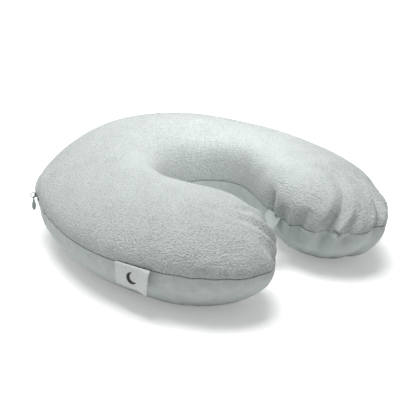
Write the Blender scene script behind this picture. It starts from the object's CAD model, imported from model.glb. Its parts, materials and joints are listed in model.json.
import json
import math
import random

import bmesh
import bpy
import numpy as np
from mathutils import Matrix, Vector


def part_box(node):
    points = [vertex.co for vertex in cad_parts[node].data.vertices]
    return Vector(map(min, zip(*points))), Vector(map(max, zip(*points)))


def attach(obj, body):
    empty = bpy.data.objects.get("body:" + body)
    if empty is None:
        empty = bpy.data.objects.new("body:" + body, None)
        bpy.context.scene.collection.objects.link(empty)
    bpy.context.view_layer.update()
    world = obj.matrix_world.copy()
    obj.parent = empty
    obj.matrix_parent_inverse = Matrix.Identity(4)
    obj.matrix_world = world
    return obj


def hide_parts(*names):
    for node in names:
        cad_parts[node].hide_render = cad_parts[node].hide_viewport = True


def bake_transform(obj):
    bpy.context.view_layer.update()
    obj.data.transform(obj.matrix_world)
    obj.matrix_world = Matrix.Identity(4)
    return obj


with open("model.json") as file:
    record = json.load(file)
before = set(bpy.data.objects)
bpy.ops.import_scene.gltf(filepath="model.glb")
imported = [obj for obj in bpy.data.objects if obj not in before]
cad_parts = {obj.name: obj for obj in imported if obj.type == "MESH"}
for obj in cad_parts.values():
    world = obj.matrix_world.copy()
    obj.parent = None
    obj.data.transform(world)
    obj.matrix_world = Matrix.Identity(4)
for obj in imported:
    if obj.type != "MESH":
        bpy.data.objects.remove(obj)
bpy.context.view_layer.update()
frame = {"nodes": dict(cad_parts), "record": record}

MM = 0.001
rng = np.random.default_rng(7)
random.seed(7)

# ------------------------------------------------------------------ the roll, as the CAD part has it
NAPE_RADIUS = 86.0
NAPE_SWEEP = math.radians(73)
ARM_RADIUS = 179.0
TIP_HEADING = math.radians(136)
WAIST = 50.5
ARM_SWELL = 5.0
EVEN_SWEEP = math.radians(61)
CROWN_NAPE = 49.5
CROWN_ARM = 41.0
CROWN_EVEN_FROM = math.radians(87)
BELLY = 46.0
CROWN_LEAN = 21.0
HOLE_RADIUS = 42.0
HOLE_CENTRE = np.array([0.0, -12.0])
HOLE_LEAVES = math.radians(88)
HOLE_LEFT = math.radians(116)
HOLLOW = 3.0
HOLLOW_HEADING = math.radians(105)
HOLLOW_SPREAD = math.radians(6)
TIP_TAPER = 79.0
TIP_BLUNT = 3.0
TIP_DROP = 2.27

joints = {j["name"]: j for j in frame["record"]["behaviour"]["joints"]}
ZIP_JOINT = joints["zip_travel"]
NAPE_CENTRE = np.array(ZIP_JOINT["pos_m"][:2]) / MM
SEAM_Z = ZIP_JOINT["pos_m"][2] / MM


def smooth(x):
    x = np.clip(x, 0, 1)
    return x * x * (3 - 2 * x)


def centreline(heading):
    """Plan point, outward direction and forward direction of the centreline at signed headings."""
    turn = np.clip(heading, -NAPE_SWEEP, NAPE_SWEEP)
    out_turn = np.stack([np.sin(turn), np.cos(turn)], -1)
    out = np.stack([np.sin(heading), np.cos(heading)], -1)
    point = NAPE_CENTRE + out_turn * NAPE_RADIUS
    point = np.where(np.abs(heading)[..., None] > NAPE_SWEEP, point + (out - out_turn) * ARM_RADIUS, point)
    ahead = np.stack([np.cos(heading), -np.sin(heading)], -1)
    return point, out, ahead


def roll_stations():
    """Signed headings with width and height fades, evenly spaced along the roll and closing at the tips."""
    arc = ARM_RADIUS
    taper_start = TIP_HEADING - TIP_TAPER / arc
    even = np.linspace(0, 56.5, 26)
    fine = [57.5, 58.4, 59.2, 59.8, 60.3, 60.7, 61.2, 62.0, 63.2, 65.0, 67.0, 69.0, 71.0]
    nape = np.radians(np.concatenate([even, fine]))
    arm = np.linspace(NAPE_SWEEP, taper_start, 52)
    angle = np.linspace(0, math.pi / 2, 34)[1:-1]
    share = np.sin(angle) ** (2 / TIP_BLUNT)
    tip = taper_start + share * TIP_TAPER / arc
    heading = np.concatenate([nape, arm, tip])
    e = np.clip((heading - taper_start) * arc / TIP_TAPER, 0, 1)
    wide = (1 - e ** TIP_BLUNT) ** (1 / TIP_BLUNT)
    high = (1 - e ** TIP_DROP) ** (1 / TIP_DROP)
    left = slice(None, 0, -1)
    return (np.concatenate([-heading[left], heading]), np.concatenate([wide[left], wide]),
            np.concatenate([high[left], high]))


ROUND = 160  # vertices round the roll; 0 is the outer seam, a quarter is the crown, half the inner seam


def roll_widths(heading):
    """Widths from the centreline out and in; the inner one follows the neck's circle round the nape."""
    point, out, _ = centreline(heading)
    share = np.maximum(np.abs(heading) - EVEN_SWEEP, 0) / (TIP_HEADING - EVEN_SWEEP)
    outer = WAIST + ARM_SWELL * np.sin(math.pi * share) ** 2
    start = point - HOLE_CENTRE
    reach = (start * out).sum(-1)
    chord = np.sqrt(np.maximum(reach ** 2 - (start ** 2).sum(-1) + HOLE_RADIUS ** 2, 0))
    share = smooth((np.abs(heading) - HOLE_LEAVES) / (HOLE_LEFT - HOLE_LEAVES))
    hollow = HOLLOW * np.exp(-((np.abs(heading) - HOLLOW_HEADING) / HOLLOW_SPREAD) ** 2)
    return outer, (reach - chord) * (1 - share) + outer * share - hollow


def roll_grid(inset):
    """Grid of points of the roll's skin at an inset: stations by vertices round."""
    heading, wide, high = roll_stations()
    point, out, ahead = centreline(heading)
    outer, inner = roll_widths(heading)
    outer = (outer - inset) * wide
    inner = (inner - inset) * wide
    even = np.minimum(np.abs(heading) / CROWN_EVEN_FROM, 1)
    crown = (CROWN_ARM + (CROWN_NAPE - CROWN_ARM) * (1 + np.cos(math.pi * even)) / 2 - inset) * high
    belly = (BELLY - inset) * high
    lean = CROWN_LEAN * wide
    t = np.arange(ROUND) * 2 * math.pi / ROUND
    ct, st = np.cos(t), np.sin(t)
    lateral = np.where(ct > 0, outer[:, None], inner[:, None]) * ct - lean[:, None] * np.maximum(st, 0) ** 2
    up = np.where(st > 0, crown[:, None], belly[:, None]) * st
    shrink = inset / ARM_RADIUS
    xy = point[:, None] + out[:, None] * lateral[..., None]
    xy = xy - ahead[:, None] * (np.sign(heading) * shrink * (1 - wide) * ARM_RADIUS)[:, None, None]
    z = np.maximum(SEAM_Z + up, inset)
    return np.concatenate([xy, z[..., None]], -1)


def poles(grid):
    return grid[0].mean(0), grid[-1].mean(0)


# ------------------------------------------------------------------ mesh helpers

def make_object(name, verts, faces, material, flat=False):
    """Mesh object from points in millimetres."""
    mesh = bpy.data.meshes.new(name)
    mesh.from_pydata((np.asarray(verts, float) * MM).tolist(), [], faces)
    mesh.validate()
    if not flat:
        mesh.polygons.foreach_set("use_smooth", [True] * len(mesh.polygons))
    mesh.materials.append(material)
    obj = bpy.data.objects.new(name, mesh)
    bpy.context.scene.collection.objects.link(obj)
    return obj


def subdivide(obj, levels):
    mod = obj.modifiers.new("subdivision", "SUBSURF")
    mod.levels = mod.render_levels = levels
    return mod


def strip_faces(rows, cols, close_cols=False, offset=0):
    """Quads of a grid of rows by cols vertices."""
    faces = []
    last = cols if close_cols else cols - 1
    for i in range(rows - 1):
        for j in range(last):
            k = (j + 1) % cols
            faces.append((offset + i * cols + j, offset + i * cols + k,
                          offset + (i + 1) * cols + k, offset + (i + 1) * cols + j))
    return faces


def tube(points, radius, sides=8, taper=None, caps=True, closed=False):
    """Vertices and faces of a round tube along a polyline."""
    points = np.asarray(points, float)
    n = len(points)
    if closed:
        tangent = np.roll(points, -1, 0) - np.roll(points, 1, 0)
    else:
        tangent = np.gradient(points, axis=0)
    tangent /= np.linalg.norm(tangent, axis=1)[:, None]
    ref = np.array([0, 0, 1.0])
    side = np.cross(tangent, ref)
    weak = np.linalg.norm(side, axis=1) < 0.2
    side[weak] = np.cross(tangent[weak], np.array([1.0, 0, 0]))
    side /= np.linalg.norm(side, axis=1)[:, None]
    up = np.cross(side, tangent)
    radii = np.full(n, radius) if taper is None else radius * np.asarray(taper)
    angle = np.arange(sides) * 2 * math.pi / sides
    ring = side[:, None] * np.cos(angle)[None, :, None] + up[:, None] * np.sin(angle)[None, :, None]
    verts = (points[:, None] + ring * radii[:, None, None]).reshape(-1, 3)
    faces = strip_faces(n, sides, close_cols=True)
    if closed:
        for j in range(sides):
            k = (j + 1) % sides
            faces.append(((n - 1) * sides + j, (n - 1) * sides + k, k, j))
    elif caps:
        faces.append(tuple(range(sides))[::-1])
        faces.append(tuple(range((n - 1) * sides, n * sides)))
    return verts, faces


def merge(parts):
    """One vertex and face list from several."""
    verts, faces, start = [], [], 0
    for v, f in parts:
        verts.append(np.asarray(v, float))
        faces += [tuple(i + start for i in face) for face in f]
        start += len(v)
    return np.concatenate(verts), faces


def resample(points, pitch):
    """Evenly spaced points and directions along a polyline."""
    points = np.asarray(points, float)
    step = np.linalg.norm(np.diff(points, axis=0), axis=1)
    along = np.concatenate([[0], np.cumsum(step)])
    count = max(int(along[-1] / pitch), 2)
    at = np.linspace(0, along[-1], count + 1)
    got = np.stack([np.interp(at, along, points[:, i]) for i in range(3)], -1)
    return got, at


def stitches(points, length, pitch, radius, lift=None, sag=0.25):
    """Separate lockstitches lying along a polyline, each dipping into the cloth at both ends."""
    fine, at = resample(points, 0.4)
    parts = []
    start = pitch * 0.3
    shape = np.array([-0.5, -0.38, -0.12, 0.12, 0.38, 0.5])
    while start + length < at[-1]:
        mid = start + length / 2
        place = mid + shape * length
        core = np.stack([np.interp(place, at, fine[:, i]) for i in range(3)], -1)
        if lift is not None:
            out = np.array([np.interp(mid, at, lift_i) for lift_i in lift(fine).T])
            out /= np.linalg.norm(out)
            core += out * (sag * (1 - (2 * np.abs(shape)) ** 3))[:, None]
        parts.append(tube(core, radius, 6, taper=[0.35, 0.85, 1, 1, 0.85, 0.35]))
        start += pitch * (1 + 0.05 * rng.standard_normal())
    return merge(parts)


# ------------------------------------------------------------------ materials

def material(name, base, rough, build=None, metallic=0.0, sheen=0.0, coat=0.0):
    """Node material; build(tree, principled, coordinates) adds its detail."""
    mat = bpy.data.materials.new(name)
    mat.use_nodes = True
    tree = mat.node_tree
    shader = tree.nodes["Principled BSDF"]
    shader.inputs["Base Color"].default_value = (*base, 1)
    shader.inputs["Roughness"].default_value = rough
    shader.inputs["Metallic"].default_value = metallic
    shader.inputs["Sheen Weight"].default_value = sheen
    shader.inputs["Sheen Roughness"].default_value = 0.5
    shader.inputs["Coat Weight"].default_value = coat
    coords = tree.nodes.new("ShaderNodeTexCoord").outputs["Object"]
    if build:
        build(tree, shader, coords)
    return mat


def noise(tree, coords, scale, detail=3.0, rough=0.5):
    node = tree.nodes.new("ShaderNodeTexNoise")
    node.inputs["Scale"].default_value = scale
    node.inputs["Detail"].default_value = detail
    node.inputs["Roughness"].default_value = rough
    tree.links.new(coords, node.inputs["Vector"])
    return node.outputs["Fac"]


def ramp(tree, value, stops):
    node = tree.nodes.new("ShaderNodeValToRGB")
    while len(node.color_ramp.elements) < len(stops):
        node.color_ramp.elements.new(0.5)
    for element, (at, colour) in zip(node.color_ramp.elements, stops):
        element.position = at
        element.color = (*colour, 1)
    tree.links.new(value, node.inputs["Fac"])
    return node.outputs["Color"]


def maths(tree, operation, a, b):
    node = tree.nodes.new("ShaderNodeMath")
    node.operation = operation
    for socket, value in zip(node.inputs, (a, b)):
        if isinstance(value, (int, float)):
            socket.default_value = value
        else:
            tree.links.new(value, socket)
    return node.outputs[0]


def bump(tree, shader, height, strength, distance, chain=None):
    node = tree.nodes.new("ShaderNodeBump")
    node.inputs["Strength"].default_value = strength
    node.inputs["Distance"].default_value = distance
    tree.links.new(height, node.inputs["Height"])
    if chain:
        tree.links.new(chain, node.inputs["Normal"])
    tree.links.new(node.outputs["Normal"], shader.inputs["Normal"])
    return node.outputs["Normal"]


def tint(c, f):
    return tuple(min(x * f, 1) for x in c)


def fleece(tree, shader, coords):
    """Short pile that has rolled into soft pebbles, over a faint mottling."""
    base = tuple(shader.inputs["Base Color"].default_value)[:3]
    pebble = noise(tree, coords, 680, 2.0, 0.5)
    fuzz = noise(tree, coords, 1500, 2.0, 0.6)
    mottle = noise(tree, coords, 45, 3.0, 0.5)
    mix = maths(tree, "ADD", maths(tree, "MULTIPLY", pebble, 0.8), maths(tree, "MULTIPLY", mottle, 0.2))
    colour = ramp(tree, mix, [(0.32, tint(base, 0.76)), (0.5, base), (0.68, tint(base, 1.14))])
    tree.links.new(colour, shader.inputs["Base Color"])
    height = maths(tree, "ADD", pebble, maths(tree, "MULTIPLY", fuzz, 0.3))
    bump(tree, shader, height, 0.85, 0.0022)


def knit(tree, shader, coords):
    """Fine smooth knit: rows of small loops with a soft mottling."""
    base = tuple(shader.inputs["Base Color"].default_value)[:3]
    loops = tree.nodes.new("ShaderNodeTexVoronoi")
    loops.inputs["Scale"].default_value = 1100
    tree.links.new(coords, loops.inputs["Vector"])
    mottle = noise(tree, coords, 120, 3.0, 0.55)
    mix = maths(tree, "ADD", maths(tree, "MULTIPLY", mottle, 0.8), maths(tree, "MULTIPLY", loops.outputs["Distance"], 0.2))
    colour = ramp(tree, mix, [(0.3, tint(base, 0.9)), (0.7, tint(base, 1.07))])
    tree.links.new(colour, shader.inputs["Base Color"])
    first = bump(tree, shader, loops.outputs["Distance"], 0.25, 0.0004)
    bump(tree, shader, mottle, 0.25, 0.0010, first)


def weave(scale):
    """Crossed threads at a given number per metre."""
    def build(tree, shader, coords):
        base = tuple(shader.inputs["Base Color"].default_value)[:3]
        mapping = tree.nodes.new("ShaderNodeMapping")
        mapping.inputs["Scale"].default_value = (scale, scale, scale)
        tree.links.new(coords, mapping.inputs["Vector"])
        split = tree.nodes.new("ShaderNodeSeparateXYZ")
        tree.links.new(mapping.outputs["Vector"], split.inputs["Vector"])
        flat = maths(tree, "ADD", split.outputs["X"], split.outputs["Y"])
        warp = maths(tree, "SINE", flat, 0)
        weft = maths(tree, "SINE", split.outputs["Z"], 0)
        cloth = maths(tree, "MULTIPLY", warp, weft)
        grain = noise(tree, coords, 700, 2.0)
        mix = maths(tree, "ADD", maths(tree, "MULTIPLY", cloth, 0.18), grain)
        colour = ramp(tree, mix, [(0.25, tint(base, 0.85)), (0.75, tint(base, 1.08))])
        tree.links.new(colour, shader.inputs["Base Color"])
        bump(tree, shader, mix, 0.4, 0.0003)
    return build


def thread(tree, shader, coords):
    """Twisted sewing thread."""
    base = tuple(shader.inputs["Base Color"].default_value)[:3]
    ply = noise(tree, coords, 2600, 2.0)
    tree.links.new(ramp(tree, ply, [(0.3, tint(base, 0.6)), (0.7, tint(base, 1.5))]), shader.inputs["Base Color"])
    bump(tree, shader, ply, 0.5, 0.0002)


def moulded(tree, shader, coords):
    """Slightly uneven moulded or enamelled surface, duller where it is handled."""
    base = tuple(shader.inputs["Base Color"].default_value)[:3]
    cloud = noise(tree, coords, 260, 4.0)
    tree.links.new(ramp(tree, cloud, [(0.35, tint(base, 0.85)), (0.7, tint(base, 1.12))]), shader.inputs["Base Color"])
    rough = shader.inputs["Roughness"].default_value
    tree.links.new(maths(tree, "ADD", maths(tree, "MULTIPLY", cloud, 0.2), rough - 0.1), shader.inputs["Roughness"])
    bump(tree, shader, noise(tree, coords, 1800, 2.0), 0.12, 0.0002)


def sponge(tree, shader, coords):
    """Open cells of cut or moulded foam."""
    base = tuple(shader.inputs["Base Color"].default_value)[:3]
    cells = tree.nodes.new("ShaderNodeTexVoronoi")
    cells.inputs["Scale"].default_value = 900
    tree.links.new(coords, cells.inputs["Vector"])
    tree.links.new(ramp(tree, cells.outputs["Distance"], [(0.0, tint(base, 0.7)), (0.4, base)]), shader.inputs["Base Color"])
    bump(tree, shader, cells.outputs["Distance"], 0.6, 0.0006)


MINT = (0.520, 0.560, 0.545)
FLEECE = material("fleece", MINT, 0.95, fleece, sheen=0.15)
KNIT = material("knit", (0.50, 0.55, 0.535), 0.85, knit, sheen=0.15)
STRAP = material("strap_knit", (0.38, 0.42, 0.41), 0.85, knit, sheen=0.15)
SEAM = material("seam_thread", (0.19, 0.22, 0.215), 0.7, thread)
HEM = material("hem_thread", (0.30, 0.345, 0.335), 0.7, thread)
TAPE = material("zip_tape", (0.30, 0.345, 0.33), 0.8, weave(5200))
COIL = material("zip_coil", (0.20, 0.24, 0.23), 0.42, moulded)
ENAMEL = material("zip_enamel", (0.178, 0.23, 0.218), 0.38, moulded, metallic=0.35, coat=0.2)
TAB = material("tab_enamel", (0.304, 0.38, 0.361), 0.42, moulded, metallic=0.2, coat=0.2)
STEEL = material("ring_steel", (0.21, 0.225, 0.22), 0.3, moulded, metallic=1.0)
SATIN = material("label_satin", (0.68, 0.72, 0.705), 0.5, weave(7500), sheen=0.3)
INK = material("label_weave", (0.025, 0.028, 0.028), 0.6, weave(7500))
PLASTIC = material("stud_plastic", (0.42, 0.47, 0.455), 0.35, moulded, coat=0.15)
LINER = material("liner_knit", (0.62, 0.64, 0.63), 0.85, knit)
LINER_THREAD = material("liner_thread", (0.55, 0.56, 0.55), 0.7, thread)
FOAM = material("foam", (0.72, 0.69, 0.56), 0.95, sponge)


# ------------------------------------------------------------------ the cover's skin

HEADING, WIDE, HIGH = roll_stations()
HALF_ROUND = ROUND // 2
SLOT_END = math.radians(60.6)
SLOT_HALF = 4.0
LIP_RISE = 2.6
TOPSTITCH = 6.4
FOLD_CENTRE = math.radians(115)
FOLD_RADIUS = 45.0

# Folds gathered into the seam round each tip: direction about the tip's middle in degrees (0 straight
# out of the tip, positive towards the neck), width, depth and height in millimetres, lean in degrees
# per millimetre of height, and the share of the fold that carries on under the seam.
RIGHT_FOLDS = [(79, 4.4, 6.6, 30, 0.1, 0.9), (59, 4.2, 3.2, 18, 0.0, 0.6), (41, 4.2, 4.2, 30, -0.4, 1.0),
               (19, 4.8, 7.4, 48, -0.7, 0.9), (2, 4.2, 3.6, 26, -0.5, 1.2), (-20, 4.8, 7.2, 60, -1.0, 0.7),
               (-41, 4.4, 6.8, 56, -0.9, 1.1), (-62, 4.4, 5.8, 50, -0.6, 0.7), (-84, 5.6, 3.2, 30, 0.0, 0.5)]
LEFT_FOLDS = [(86, 5.6, 4.0, 30, 0.0, 0.5), (60, 4.8, 4.6, 40, -0.1, 0.5), (38, 4.2, 5.2, 52, -0.25, 0.5),
              (20, 3.8, 5.4, 56, -0.32, 0.5), (2, 3.8, 3.8, 28, -0.3, 0.4), (-20, 4.4, 1.8, 18, 0.0, 0.3),
              (-60, 6.0, 1.2, 14, 0.0, 0.3)]


BULGE = 3.0
BULGE_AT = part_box("zip_slider")[0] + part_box("zip_slider")[1]
BULGE_HEADING = math.atan2(BULGE_AT.x, BULGE_AT.y - 2 * NAPE_CENTRE[1] * MM)


def outward_normals(grid):
    along = np.gradient(grid, axis=0)
    around = (np.roll(grid, -1, 1) - np.roll(grid, 1, 1)) / 2
    normal = np.cross(around, along)
    normal /= np.linalg.norm(normal, axis=2)[..., None] + 1e-12
    _, out, _ = centreline(HEADING)
    middle = len(grid) // 2
    return normal if normal[middle, 0, :2] @ out[middle] > 0 else -normal


def seam_distance(grid):
    """Distance round the skin from the outer seam, for every point, the short way."""
    step = np.linalg.norm(np.diff(np.concatenate([grid, grid[:, :1]], 1), axis=1), axis=2)
    total = step.sum(1, keepdims=True)
    along = np.concatenate([np.zeros((len(grid), 1)), np.cumsum(step, 1)[:, :-1]], 1)
    return np.minimum(along, total - along)


def roll_length(grid):
    """Distance along the roll, measured on the centreline."""
    point, _, _ = centreline(HEADING)
    return np.concatenate([[0], np.cumsum(np.linalg.norm(np.diff(point, axis=0), axis=1))])


def tip_folds(grid, side, folds):
    """Depth, inward, of the folds round one tip; side is +1 for the right arm."""
    centre, out, ahead = centreline(np.array([side * FOLD_CENTRE]))
    centre, out, ahead = centre[0], out[0], ahead[0] * side
    flat = grid[..., :2] - centre
    angle = np.arctan2(-(flat @ out), flat @ ahead)
    reach = np.linalg.norm(flat, axis=2)
    height = grid[..., 2] - SEAM_Z
    near = smooth((82 - reach) / 20) * (grid[..., 0] * side > 0)
    depth = np.zeros(grid.shape[:2])
    for direction, width, deep, tall, lean, under in folds:
        centre_line = math.radians(direction) + np.radians(lean) * np.maximum(height, 0.4 * height)
        x = (angle - centre_line) * np.clip(reach, 12, FOLD_RADIUS) / (width * (0.75 + 0.6 * np.abs(height) / tall))
        shape = np.exp(-np.abs(x) ** 1.25) - 0.42 * np.exp(-(np.abs(x) - 1.75) ** 2 * 2.2)
        above = np.where(height >= 0, height / tall, -height / (0.7 * tall))
        fade = (1 - smooth(above)) * np.where(height >= 0, 1, under)
        depth += deep * shape * fade
    return depth * near


def unevenness(grid):
    """Slow swells of the filling, the same every run."""
    x, y, z = grid[..., 0] / 31, grid[..., 1] / 27, grid[..., 2] / 24
    swell = np.sin(x + 1.3 * z + 0.4) * np.sin(y - 0.7 * z + 1.1) + 0.6 * np.sin(1.9 * x - 1.4 * y + 2.2)
    return 0.4 * swell


def shape_cover(grid):
    """Displacement along the normal that turns the plain roll into a sewn, filled cover."""
    length = roll_length(grid)[:, None]
    distance = seam_distance(grid)
    total = distance.max(1, keepdims=True)
    from_seam = np.minimum(distance, total - distance)
    rise = unevenness(grid)
    gather = np.sin(length / 1.9 + 1.4 * np.sin(length / 17)) * (0.6 + 0.4 * np.sin(length / 29 + 1))
    rise = rise + 0.42 * gather * np.exp(-from_seam / 6.5) * np.minimum(total / 60, 1)
    rise = rise - 0.5 * np.exp(-(from_seam / 4.0) ** 2) * np.minimum(total / 60, 1)
    rise -= tip_folds(grid, 1, RIGHT_FOLDS)
    rise -= tip_folds(grid, -1, LEFT_FOLDS)
    slot = smooth((SLOT_END + 0.06 - np.abs(HEADING)) / 0.12)[:, None]
    lip = LIP_RISE * np.exp(-((distance - 4.5) / 3.2) ** 2) - 0.9 * np.exp(-((distance - 12.5) / 4.0) ** 2)
    upper = np.where(grid[..., 2] >= SEAM_Z, 1.0, 0.3)
    bulge = BULGE * np.exp(-((HEADING - BULGE_HEADING) / 0.3) ** 2)[:, None] * np.exp(-((distance - 13) / 9) ** 2)
    return rise + slot * 0.5 * np.exp(-(from_seam / 4.0) ** 2) + upper * (slot * lip + bulge)


def seam_waver(grid):
    """How far the gathered seam wanders up and down round the tips."""
    distance = seam_distance(grid)
    from_seam = np.minimum(distance, distance.max(1, keepdims=True) - distance)
    length = roll_length(grid)[:, None]
    waver = np.sin(length / 4.3 + 1.1 * np.sin(length / 11)) + 0.6 * np.sin(length / 2.4 + 2)
    tips = smooth((np.abs(HEADING) - 1.8) / 0.25)[:, None] * np.where(HEADING > 0, 0.75, 0.35)[:, None]
    return waver * tips * np.exp(-from_seam / 9)


def grid_mesh(name, grid):
    """Closed mesh object of a grid, in millimetre-scaled metres, with a point at each tip."""
    rows, cols = grid.shape[:2]
    first, last = poles(grid)
    verts = np.concatenate([grid.reshape(-1, 3), [first, last]])
    faces = strip_faces(rows, cols, close_cols=True)
    a, b = rows * cols, rows * cols + 1
    for j in range(cols):
        k = (j + 1) % cols
        faces.append((a, k, j))
        faces.append((b, (rows - 1) * cols + j, (rows - 1) * cols + k))
    mesh = bpy.data.meshes.new(name)
    mesh.from_pydata((verts * MM).tolist(), [], faces)
    obj = bpy.data.objects.new(name, mesh)
    bpy.context.scene.collection.objects.link(obj)
    return obj


def simulate(grid, normal):
    """Cloth run on the filled cover: the seam round the tips draws up and the pressure fills the cloth out.

    Returns the wrinkles only, as displacement along the normal, so that the size stays the roll's own."""
    obj = grid_mesh("cover_simulation", grid)
    group = obj.vertex_groups.new(name="gathered")
    around = np.minimum(np.arange(ROUND) % HALF_ROUND, HALF_ROUND - np.arange(ROUND) % HALF_ROUND)
    tight = np.exp(-(around / 2.2) ** 2)[None, :] * (0.35 + 0.65 * smooth((np.abs(HEADING) - 1.5) / 0.5))[:, None]
    for index, weight in enumerate(tight.reshape(-1)):
        if weight > 0.02:
            group.add([index], float(weight), "REPLACE")
    cloth = obj.modifiers.new("cloth", "CLOTH")
    settings = cloth.settings
    settings.quality = 5
    settings.mass = 0.15
    settings.tension_stiffness = 12
    settings.compression_stiffness = 12
    settings.shear_stiffness = 4
    settings.bending_stiffness = 0.15
    settings.use_pressure = True
    settings.uniform_pressure_force = 4
    settings.vertex_group_shrink = "gathered"
    settings.shrink_min = 0.0
    settings.shrink_max = 0.12
    settings.effector_weights.gravity = 0
    cloth.collision_settings.use_collision = False
    cloth.point_cache.frame_start = 1
    cloth.point_cache.frame_end = 20
    scene = bpy.context.scene
    for step in range(1, 21):
        scene.frame_set(step)
    shot = obj.evaluated_get(bpy.context.evaluated_depsgraph_get()).to_mesh()
    found = np.zeros(len(shot.vertices) * 3)
    shot.vertices.foreach_get("co", found)
    found = found.reshape(-1, 3)[:-2].reshape(grid.shape) / MM
    bpy.data.objects.remove(obj)
    scene.frame_set(1)
    move = ((found - grid) * normal).sum(2)
    slow = move
    for _ in range(60):
        around_mean = (np.roll(slow, 1, 1) + np.roll(slow, -1, 1)) / 2
        padded = np.concatenate([slow[:1], slow, slow[-1:]])
        slow = 0.5 * slow + 0.25 * around_mean + 0.125 * (padded[:-2] + padded[2:])
    print("cloth moved", np.abs(move).max(), "wrinkle", np.abs(move - slow).max())
    share = 0.22 + 0.26 * smooth((np.abs(HEADING) - 1.75) / 0.35)
    return np.clip(move - slow, -1.6, 1.6) * share[:, None]


base = roll_grid(0.0)
base_normal = outward_normals(base)
rise = shape_cover(base)
rise = rise + simulate(base + base_normal * rise[..., None], base_normal)
rise = np.clip(rise, -6.4, 4.5)
skin = base + base_normal * rise[..., None]
skin[..., 2] += seam_waver(base)
skin[..., 2] = np.maximum(skin[..., 2], 0.25)
skin_normal = outward_normals(skin)


def slot_half(heading):
    """Half-height of the gap left for the zip, closing at its two ends."""
    share = np.clip(np.abs(heading) / SLOT_END, 0, 1)
    return SLOT_HALF * (1 - share ** 60) ** 0.5


def section(row, upper):
    """Points and normals of one station from the outer seam to the inner seam, over or under, with distances."""
    order = np.arange(HALF_ROUND + 1) if upper else -np.arange(HALF_ROUND + 1)
    points, normal = skin[row, order % ROUND], skin_normal[row, order % ROUND]
    along = np.concatenate([[0], np.cumsum(np.linalg.norm(np.diff(points, axis=0), axis=1))])
    return points, normal, along


def on_skin(row, upper, distances, depth):
    points, normal, along = section(row, upper)
    at = np.stack([np.interp(distances, along, points[:, i]) for i in range(3)], -1)
    push = np.stack([np.interp(distances, along, normal[:, i]) for i in range(3)], -1)
    return at - push * np.asarray(depth)[..., None]


EDGE_STEPS = np.array([0.06, 0.1, 0.45, 1.3, 3.0])
EDGE_DEPTHS = np.array([2.4, 0.6, 0.06, 0.0, 0.0])
MIDDLE_COLUMNS = 84


def cover_panel(upper):
    """Vertices and faces of the upper or lower panel, its edges turned into the seam and the zip slot."""
    rows = []
    for row, heading in enumerate(HEADING):
        total = section(row, upper)[2][-1]
        fade = min(1.0, total / 70)
        outer = slot_half(heading) + EDGE_STEPS * fade
        inner = total - (EDGE_STEPS * fade)[::-1]
        middle = np.linspace(outer[-1], inner[0], MIDDLE_COLUMNS)[1:-1]
        distances = np.concatenate([outer, middle, inner])
        depth = np.concatenate([EDGE_DEPTHS, np.zeros(len(middle)), EDGE_DEPTHS[::-1]]) * fade
        rows.append(on_skin(row, upper, distances, depth))
    cols = len(rows[0])
    verts = np.array(rows).reshape(-1, 3)
    faces = strip_faces(len(rows), cols)
    first = (rows[0][0] + rows[0][-1]) / 2
    last = (rows[-1][0] + rows[-1][-1]) / 2
    a, b = len(verts), len(verts) + 1
    verts = np.concatenate([verts, [first, last]])
    for j in range(cols - 1):
        faces.append((a, j + 1, j))
        faces.append((b, (len(rows) - 1) * cols + j, (len(rows) - 1) * cols + j + 1))
    if not upper:
        faces = [face[::-1] for face in faces]
    return verts, faces


for upper, name, node, mat in ((True, "cover_fleece", "cover_top_panel", FLEECE),
                               (False, "cover_knit", "cover_bottom_panel", KNIT)):
    verts, faces = cover_panel(upper)
    panel = make_object(name, verts, faces, mat)
    subdivide(panel, 1)
    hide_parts(node)
    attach(panel, "pillow")


# ------------------------------------------------------------------ seam stitches

def seam_line(depth):
    """Seam points from the slot's left end round both tips and back to its right end."""
    outer = skin[:, 0] - skin_normal[:, 0] * depth
    inner = skin[:, HALF_ROUND] - skin_normal[:, HALF_ROUND] * depth
    left = [i for i in range(len(HEADING)) if HEADING[i] < -SLOT_END]
    right = [i for i in range(len(HEADING)) if HEADING[i] > SLOT_END]
    first, last = (outer[0] + inner[0]) / 2, (outer[-1] + inner[-1]) / 2
    line = np.concatenate([outer[left][::-1], [first], inner, [last], outer[right][::-1]])
    return line


def seam_out(line):
    """Horizontal direction away from the roll's middle along a seam line."""
    ahead = np.gradient(line, axis=0)
    out = np.stack([ahead[:, 1], -ahead[:, 0], np.zeros(len(line))], -1)
    return out / np.linalg.norm(out, axis=1)[:, None]


line = seam_line(0.45)
sign = 1 if seam_out(line)[3, :2] @ (line[3, :2] - NAPE_CENTRE) > 0 else -1
verts, faces = stitches(line, 2.1, 3.3, 0.2, lift=lambda fine: sign * seam_out(fine), sag=0.3)
seam = make_object("seam_stitching", verts, faces, SEAM)
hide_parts("cover_seam_thread")
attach(seam, "pillow")


def topstitch_rows():
    rows = np.where(np.abs(HEADING) < SLOT_END + math.radians(0.9))[0]
    parts = []
    for upper in (True, False):
        path = np.array([on_skin(row, upper, np.array([TOPSTITCH]), np.array([0.1]))[0] for row in rows])
        parts.append(stitches(path, 2.4, 3.2, 0.2, lift=lambda fine: fine - np.array([*NAPE_CENTRE, SEAM_Z]), sag=0.15))
    for end in (rows[0], rows[-1]):
        path = np.concatenate([on_skin(end, True, np.linspace(TOPSTITCH, 0.3, 12), np.full(12, 0.1)),
                               on_skin(end, False, np.linspace(0.3, TOPSTITCH, 12), np.full(12, 0.1))])
        parts.append(stitches(path, 2.4, 3.2, 0.2, lift=lambda fine: fine - np.array([*NAPE_CENTRE, SEAM_Z]), sag=0.15))
    return merge(parts)


verts, faces = topstitch_rows()
topstitch = make_object("zip_topstitching", verts, faces, HEM)
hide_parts("zip_topstitch")
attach(topstitch, "pillow")


# ------------------------------------------------------------------ zip tapes and coils

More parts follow.
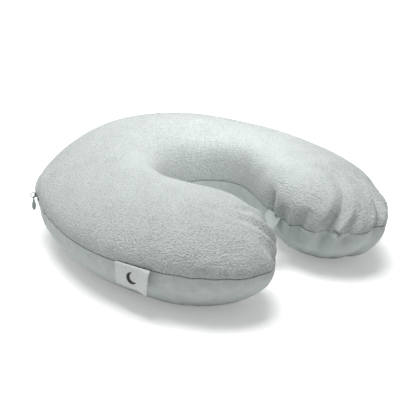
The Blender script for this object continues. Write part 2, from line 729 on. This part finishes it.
TAPE_DEPTH = 1.95
TAPE_HALF = 0.2
TAPE_NEAR = 1.2
TAPE_FAR = 10.5
COIL_RADIUS = 135.58
COIL_DEEP = 0.42
COIL_MIDDLE = 0.8
COIL_TALL = 1.08
COIL_WIRE = 0.32
COIL_PITCH = 2.0
COIL_FIRST = math.radians(-57.4)
COIL_LAST = math.radians(58.0)


def tape(upper):
    """Woven tape of one side: a thin slab with a corded edge at the coil."""
    rows = np.where(np.abs(HEADING) < math.radians(62.5))[0]
    across = np.array([TAPE_NEAR, 1.6, 2.2, 2.8, 4.2, 5.8, 7.4, 9.0, 10.1, TAPE_FAR])
    thick = np.array([0.12, 0.34, 0.34, 0.22, 0.2, 0.2, 0.2, 0.2, 0.2, 0.08])
    loops = []
    order = np.arange(HALF_ROUND + 1) if upper else -np.arange(HALF_ROUND + 1)
    for row in rows:
        points, normal = base[row, order % ROUND], base_normal[row, order % ROUND]
        along = np.concatenate([[0], np.cumsum(np.linalg.norm(np.diff(points, axis=0), axis=1))])
        at = np.stack([np.interp(across, along, points[:, i]) for i in range(3)], -1)
        push = np.stack([np.interp(across, along, normal[:, i]) for i in range(3)], -1)
        front = at - push * (TAPE_DEPTH - thick)[:, None]
        back = at - push * (TAPE_DEPTH + thick)[:, None]
        loops.append(np.concatenate([front, back[::-1]]))
    loops = np.array(loops)
    rows_n, cols = loops.shape[:2]
    faces = strip_faces(rows_n, cols, close_cols=True)
    faces.append(tuple(range(cols)))
    faces.append(tuple(range((rows_n - 1) * cols, rows_n * cols))[::-1])
    return loops.reshape(-1, 3), faces


def coil(side):
    """Continuous nylon spiral of one side; the two spirals mesh half a pitch apart."""
    length = (COIL_LAST - COIL_FIRST) * COIL_RADIUS
    turns = length / COIL_PITCH
    phase = np.linspace(0, turns * 2 * math.pi, int(turns * 14))
    heading = COIL_FIRST + phase / (2 * math.pi) * COIL_PITCH / COIL_RADIUS + (side < 0) * COIL_PITCH / 2 / COIL_RADIUS
    radius = COIL_RADIUS + COIL_DEEP * np.sin(phase)
    z = SEAM_Z + side * (COIL_MIDDLE - COIL_TALL * np.cos(phase))
    points = np.stack([NAPE_CENTRE[0] + radius * np.sin(heading), NAPE_CENTRE[1] + radius * np.cos(heading), z], -1)
    return tube(points, COIL_WIRE, 6)


for upper, side, word in ((True, 1, "upper"), (False, -1, "lower")):
    verts, faces = tape(upper)
    piece = make_object("woven_tape_" + word, verts, faces, TAPE)
    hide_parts("zip_tape_" + word)
    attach(piece, "pillow")
    verts, faces = coil(side)
    piece = make_object("nylon_coil_" + word, verts, faces, COIL)
    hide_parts("zip_coil_" + word)
    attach(piece, "pillow")


# ------------------------------------------------------------------ hinged fabric pieces

def hinge_frame(name):
    """Hinge point in millimetres and unit axis of a joint."""
    joint = joints[name]
    axis = np.array(joint["axis"], float)
    return np.array(joint["pos_m"]) / MM, axis / np.linalg.norm(axis)


def loop_mesh(loops):
    """Closed strap-like mesh from cross-section loops."""
    loops = np.array(loops)
    rows, cols = loops.shape[:2]
    faces = strip_faces(rows, cols, close_cols=True)
    verts = loops.reshape(-1, 3)
    faces += end_cap(0, cols, False) + end_cap((rows - 1) * cols, cols, True)
    return verts, faces


def end_cap(start, cols, flip):
    """Quads joining the front and back halves of one end loop."""
    half = cols // 2
    faces = []
    for j in range(half - 1):
        face = (start + j, start + j + 1, start + cols - 2 - j, start + cols - 1 - j)
        faces.append(face if flip else face[::-1])
    return faces


# ------------------------------------------------------------------ straps

STRAP_HALF_WIDTH = 11.0
STRAP_HALF_THICK = 0.7
STRAP_CORNER = 3.0
STRAP_TAIL = 3.5
HEM_LINE = 2.0
END_LINE = 1.0
LEFT_PAST = 6.5
RIGHT_PAST = 9.5


def hung(name):
    """Function that turns a level point (x, y, height over the strap's middle) down to where the strap rests."""
    hinge, axis = hinge_frame(name)
    limits = np.radians(joints[name]["range_deg"])
    raised = limits[np.argmax(np.abs(limits))]
    turn = np.array(Matrix.Rotation(-raised, 3, Vector(axis)))

    def place(x, y, up):
        level = np.stack(np.broadcast_arrays(x, y, hinge[2] + np.asarray(up, float)), -1)
        return hinge + (level - hinge) @ turn.T

    return place, hinge, axis


def strap_bow(x, y, root, side):
    """Slight curl of a soft strap: it bows over its length and its free corners lift."""
    share = np.clip((side * (root - x)) / 30, 0, 1)
    across = (y / STRAP_HALF_WIDTH) ** 2
    return 0.22 * np.sin(math.pi * share) - 0.18 * across * share


def strap_mesh(name, side, past):
    place, hinge, axis = hung(name)
    lean = axis[0] / axis[1]
    end = -side * past
    loops = []
    across = np.linspace(-1, 1, 29)
    for share in np.concatenate([np.linspace(0, 0.86, 24), 1 - 0.14 * np.linspace(0.9, 0, 9) ** 1.6]):
        from_end_max = side * (hinge[0] + 0 - end) + STRAP_TAIL
        reach = (1 - share) * from_end_max
        corner = STRAP_CORNER * (1 - math.sqrt(max(0.0, 1 - (1 - min(reach / STRAP_CORNER, 1)) ** 2)))
        y_off = across * (STRAP_HALF_WIDTH - corner)
        x_root = hinge[0] + y_off * lean + side * STRAP_TAIL
        x = x_root + (end - x_root) * share
        edge = STRAP_HALF_WIDTH - corner - np.abs(y_off)
        edge = np.minimum(edge, reach * 1.0 + 0.35)
        hem = STRAP_HALF_THICK - 0.14 * smooth((edge - 2.3) / 1.2) - 0.16 * np.exp(-((edge - HEM_LINE) / 0.35) ** 2)
        rounding = np.sqrt(np.clip(1 - (1 - np.minimum(edge / 0.7, 1)) ** 2, 0, 1))
        thick = hem * np.maximum(rounding, 0.25)
        bow = strap_bow(x, y_off, hinge[0], side)
        top = place(x, hinge[1] + y_off, bow + thick)
        under = place(x, hinge[1] + y_off, bow - thick)
        loops.append(np.concatenate([top, under[::-1]]))
    return loop_mesh(loops)


def strap_stitching(name, side, past):
    place, hinge, axis = hung(name)
    lean = axis[0] / axis[1]
    reach = STRAP_HALF_WIDTH - HEM_LINE
    end = -side * (past - END_LINE)
    corners = [(hinge[0] + reach * lean - side * 1.5, reach), (end, reach), (end, -reach),
               (hinge[0] - reach * lean - side * 1.5, -reach)]
    outline = []
    for (x0, y0), (x1, y1) in zip(corners, corners[1:]):
        for share in np.linspace(0, 1, 20):
            outline.append((x0 + (x1 - x0) * share, y0 + (y1 - y0) * share))
    outline = np.array(outline)
    parts = []
    for face in (1, -1):
        x, y = outline[:, 0], outline[:, 1]
        path = place(x, hinge[1] + y, strap_bow(x, y, hinge[0], side) + face * (STRAP_HALF_THICK - 0.08))
        up = place(np.array([0.0]), np.array([0.0]), 1.0) - place(np.array([0.0]), np.array([0.0]), 0.0)
        parts.append(stitches(path, 2.2, 3.0, 0.2, lift=lambda fine, up=up: np.repeat(up * face, len(fine), 0), sag=0.1))
    return merge(parts)


for side, word, past in ((-1, "left", LEFT_PAST), (1, "right", RIGHT_PAST)):
    joint_name = word + "_strap_swing"
    body = word + "_strap"
    place, hinge, axis = hung(joint_name)
    verts, faces = strap_mesh(joint_name, side, past)
    piece = make_object("fabric_strap_" + word, verts, faces, STRAP)
    subdivide(piece, 1)
    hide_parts("strap_" + word)
    start = place(hinge[0] + side * 1.0, hinge[1], 0.0) * MM
    finish = place(hinge[0] - side * 3.0, hinge[1], 0.0) * MM
    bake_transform(piece)
    verts, faces = strap_stitching(joint_name, side, past)
    piece = make_object("strap_stitches_" + word, verts, faces, HEM)
    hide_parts("strap_" + word + "_stitching")
    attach(piece, body)


# ------------------------------------------------------------------ woven label

LABEL_HALF = 17.0
LABEL_DROP = 19.0
LABEL_HALF_THICK = 0.25
MARK_OUTER = 5.2
MARK_BITE = 4.4
MARK_SHIFT = 2.4
MARK_CELL = 0.26

label_hinge, label_ahead = hinge_frame("label_lift")
label_out = np.array([-label_ahead[1], label_ahead[0], 0.0])


def label_point(w, drop, up):
    """Point on the label: w along the seam (positive towards the nape), drop below the seam, up off its middle."""
    w, drop = np.broadcast_arrays(np.asarray(w, float), np.asarray(drop, float))
    down = drop / LABEL_DROP
    free = np.clip(-w / LABEL_HALF, -1, 1)
    curl = 4.6 * np.maximum(down, 0) ** 0.7 * smooth((free - 0.15) / 0.85) + 0.35 * np.sin(w / 5.5 + 0.6) * down
    curl = curl - 1.3 * down * smooth(-free) - 0.5 * np.exp(-drop / 1.2)
    place = label_hinge + w[..., None] * label_ahead + (curl + up)[..., None] * label_out
    return place - np.array([0, 0, 1.0]) * (drop * (1 - 0.012 * down))[..., None]


loops = []
across = np.concatenate([[-1, -0.985], np.linspace(-0.95, 0.95, 25), [0.985, 1]])
for share in np.concatenate([[-0.06, 0.0], np.linspace(0.06, 0.94, 15), [0.975, 1.0]]):
    w = across * LABEL_HALF
    edge = np.minimum((1 - np.abs(across)) * LABEL_HALF, (1 - share) * LABEL_DROP)
    thick = LABEL_HALF_THICK * (0.45 + 0.55 * smooth(edge / 0.5))
    drop = np.full(len(w), share * LABEL_DROP)
    loops.append(np.concatenate([label_point(w, drop, thick), label_point(w, drop, -thick)[::-1]]))
verts, faces = loop_mesh(loops)
label = make_object("side_label", verts, faces, SATIN)
subdivide(label, 1)
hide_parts("woven_label")
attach(label, "label")

verts, faces = [], []
count = int(MARK_OUTER / MARK_CELL) + 1
middle_drop = LABEL_DROP / 2
for i in range(-count, count):
    for j in range(-count, count):
        w, d = (i + 0.5) * MARK_CELL, (j + 0.5) * MARK_CELL
        inside = math.hypot(w, d) < MARK_OUTER
        bitten = math.hypot(w + MARK_SHIFT, d + MARK_SHIFT / 2) < MARK_BITE
        if inside and not bitten:
            start = len(verts)
            half = MARK_CELL * 0.46
            corners_w = np.array([w - half, w + half, w + half, w - half])
            corners_d = np.array([d - half, d - half, d + half, d + half]) + middle_drop
            low = label_point(corners_w, corners_d, LABEL_HALF_THICK - 0.03)
            high = label_point(corners_w * 0.999, corners_d, LABEL_HALF_THICK + 0.1 + 0.03 * ((i + j) % 2))
            verts.extend(low)
            verts.extend(high)
            faces.append((start + 4, start + 5, start + 6, start + 7))
            for a in range(4):
                b = (a + 1) % 4
                faces.append((start + a, start + b, start + 4 + b, start + 4 + a))
mark = make_object("woven_crescent", verts, faces, INK, flat=True)
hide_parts("label_mark")
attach(mark, "label")


# ------------------------------------------------------------------ liner and core, under the cover

LINER_DEPTH = 3.9
CORE_DEPTH = 4.8


def filling_grid(depth):
    """The roll at a depth, pressed in wherever the cover over it is folded in."""
    return roll_grid(depth) + base_normal * np.minimum(rise, 0)[..., None]


def plain_panel(depth, upper):
    grid = filling_grid(depth)
    order = np.arange(HALF_ROUND + 1) if upper else -np.arange(HALF_ROUND + 1)
    half = grid[:, order % ROUND]
    rows, cols = half.shape[:2]
    first = (half[0, 0] + half[0, -1]) / 2
    last = (half[-1, 0] + half[-1, -1]) / 2
    faces = strip_faces(rows, cols)
    verts = np.concatenate([half.reshape(-1, 3), [first, last]])
    for j in range(cols - 1):
        faces.append((rows * cols, j + 1, j))
        faces.append((rows * cols + 1, (rows - 1) * cols + j, (rows - 1) * cols + j + 1))
    return verts, faces


for upper, word in ((True, "top"), (False, "bottom")):
    verts, faces = plain_panel(LINER_DEPTH, upper)
    piece = make_object("liner_panel_" + word, verts, faces, LINER)
    solid = piece.modifiers.new("fabric", "SOLIDIFY")
    solid.thickness = 0.5 * MM
    solid.offset = 0
    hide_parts("liner_" + word)
    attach(piece, "pillow")

liner_grid = filling_grid(LINER_DEPTH - 0.35)
tips = [(liner_grid[k, 0] + liner_grid[k, HALF_ROUND]) / 2 for k in (0, -1)]
ring = np.concatenate([liner_grid[:, 0], [tips[1]], liner_grid[::-1, HALF_ROUND], [tips[0]]])
verts, faces = stitches(ring, 2.6, 3.6, 0.2)
piece = make_object("liner_stitching", verts, faces, LINER_THREAD)
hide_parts("liner_seam_thread")
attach(piece, "pillow")

core = grid_mesh("moulded_core", filling_grid(CORE_DEPTH))
core.data.polygons.foreach_set("use_smooth", [True] * len(core.data.polygons))
core.data.materials.append(FOAM)
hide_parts("foam_core")
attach(core, "pillow")


# ------------------------------------------------------------------ hard pieces kept from the CAD

for node, mat in (("zip_slider", ENAMEL), ("zip_pull_ring", STEEL), ("zip_pull_tab", TAB), ("zip_top_stops", ENAMEL),
                  ("zip_bottom_stop", ENAMEL), ("snap_cap", PLASTIC), ("snap_socket", PLASTIC), ("snap_stud", PLASTIC),
                  ("snap_backing", PLASTIC)):
    obj = frame["nodes"][node]
    for index in range(max(len(obj.material_slots), 1)):
        if obj.material_slots:
            obj.material_slots[index].material = mat
        else:
            obj.data.materials.append(mat)


# ------------------------------------------------------------------ floor, light and camera

FLOOR_GLOW_NEAR = 0.3
FLOOR_GLOW_FAR = 0.7


def floor():
    mesh = bpy.data.meshes.new("floor")
    size = 6.0
    mesh.from_pydata([(-size, -size, 0), (size, -size, 0), (size, size, 0), (-size, size, 0)], [], [(0, 1, 2, 3)])
    obj = bpy.data.objects.new("floor", mesh)
    bpy.context.scene.collection.objects.link(obj)
    mat = material("floor_white", (0.93, 0.93, 0.93), 0.9)
    shader = mat.node_tree.nodes["Principled BSDF"]
    shader.inputs["Emission Color"].default_value = (1, 1, 1, 1)
    tree = mat.node_tree
    coords = tree.nodes.new("ShaderNodeTexCoord").outputs["Object"]
    length = tree.nodes.new("ShaderNodeVectorMath")
    length.operation = "LENGTH"
    tree.links.new(coords, length.inputs[0])
    span = tree.nodes.new("ShaderNodeMapRange")
    span.interpolation_type = "SMOOTHSTEP"
    span.inputs["From Min"].default_value = 0.16
    span.inputs["From Max"].default_value = 0.42
    span.inputs["To Min"].default_value = FLOOR_GLOW_NEAR
    span.inputs["To Max"].default_value = FLOOR_GLOW_FAR
    tree.links.new(length.outputs["Value"], span.inputs["Value"])
    path = tree.nodes.new("ShaderNodeLightPath")
    seen = maths(tree, "MULTIPLY", span.outputs["Result"], path.outputs["Is Camera Ray"])
    tree.links.new(seen, shader.inputs["Emission Strength"])
    mesh.materials.append(mat)
    obj.location.z = -0.0003


def softbox(name, place, target, size, power, spread=180):
    light = bpy.data.lights.new(name, "AREA")
    light.shape = "RECTANGLE"
    light.size, light.size_y = size
    light.energy = power
    light.spread = math.radians(spread)
    obj = bpy.data.objects.new(name, light)
    bpy.context.scene.collection.objects.link(obj)
    obj.location = place
    obj.rotation_euler = (Vector(target) - Vector(place)).to_track_quat("-Z", "Y").to_euler()
    return obj


floor()
softbox("overhead", (0.0, 0.24, 1.46), (0, 0, 0.05), (1.1, 1.1), 28.5)
softbox("inner", (-0.01, -0.15, 0.32), (0.035, 0.045, 0.04), (0.14, 0.14), 0.05, 42)

world = bpy.data.worlds.new("studio")
world.use_nodes = True
world.node_tree.nodes["Background"].inputs["Color"].default_value = (1, 1, 1, 1)
seen = world.node_tree.nodes.new("ShaderNodeLightPath").outputs["Is Camera Ray"]
backdrop = maths(world.node_tree, "MULTIPLY", seen, 0.8)
fill = maths(world.node_tree, "ADD", backdrop, 0.2)
world.node_tree.links.new(fill, world.node_tree.nodes["Background"].inputs["Strength"])
bpy.context.scene.world = world
bpy.context.scene.view_settings.view_transform = "Standard"

AIM = Vector((-0.00645, -0.00115, 0.045))
AZIMUTH = math.radians(-39.5)
ELEVATION = math.radians(23.33)
DISTANCE = 1.0325
back = Vector((math.sin(AZIMUTH) * math.cos(ELEVATION), -math.cos(AZIMUTH) * math.cos(ELEVATION), math.sin(ELEVATION)))
camera_data = bpy.data.cameras.new("camera")
camera_data.lens = 98.6
camera_data.sensor_width = 36
camera_data.shift_x = 0.0303
camera_data.shift_y = -0.0329
camera = bpy.data.objects.new("camera", camera_data)
bpy.context.scene.collection.objects.link(camera)
camera.location = AIM + back * DISTANCE
camera.rotation_euler = (-back).to_track_quat("-Z", "Y").to_euler()
bpy.context.scene.camera = camera
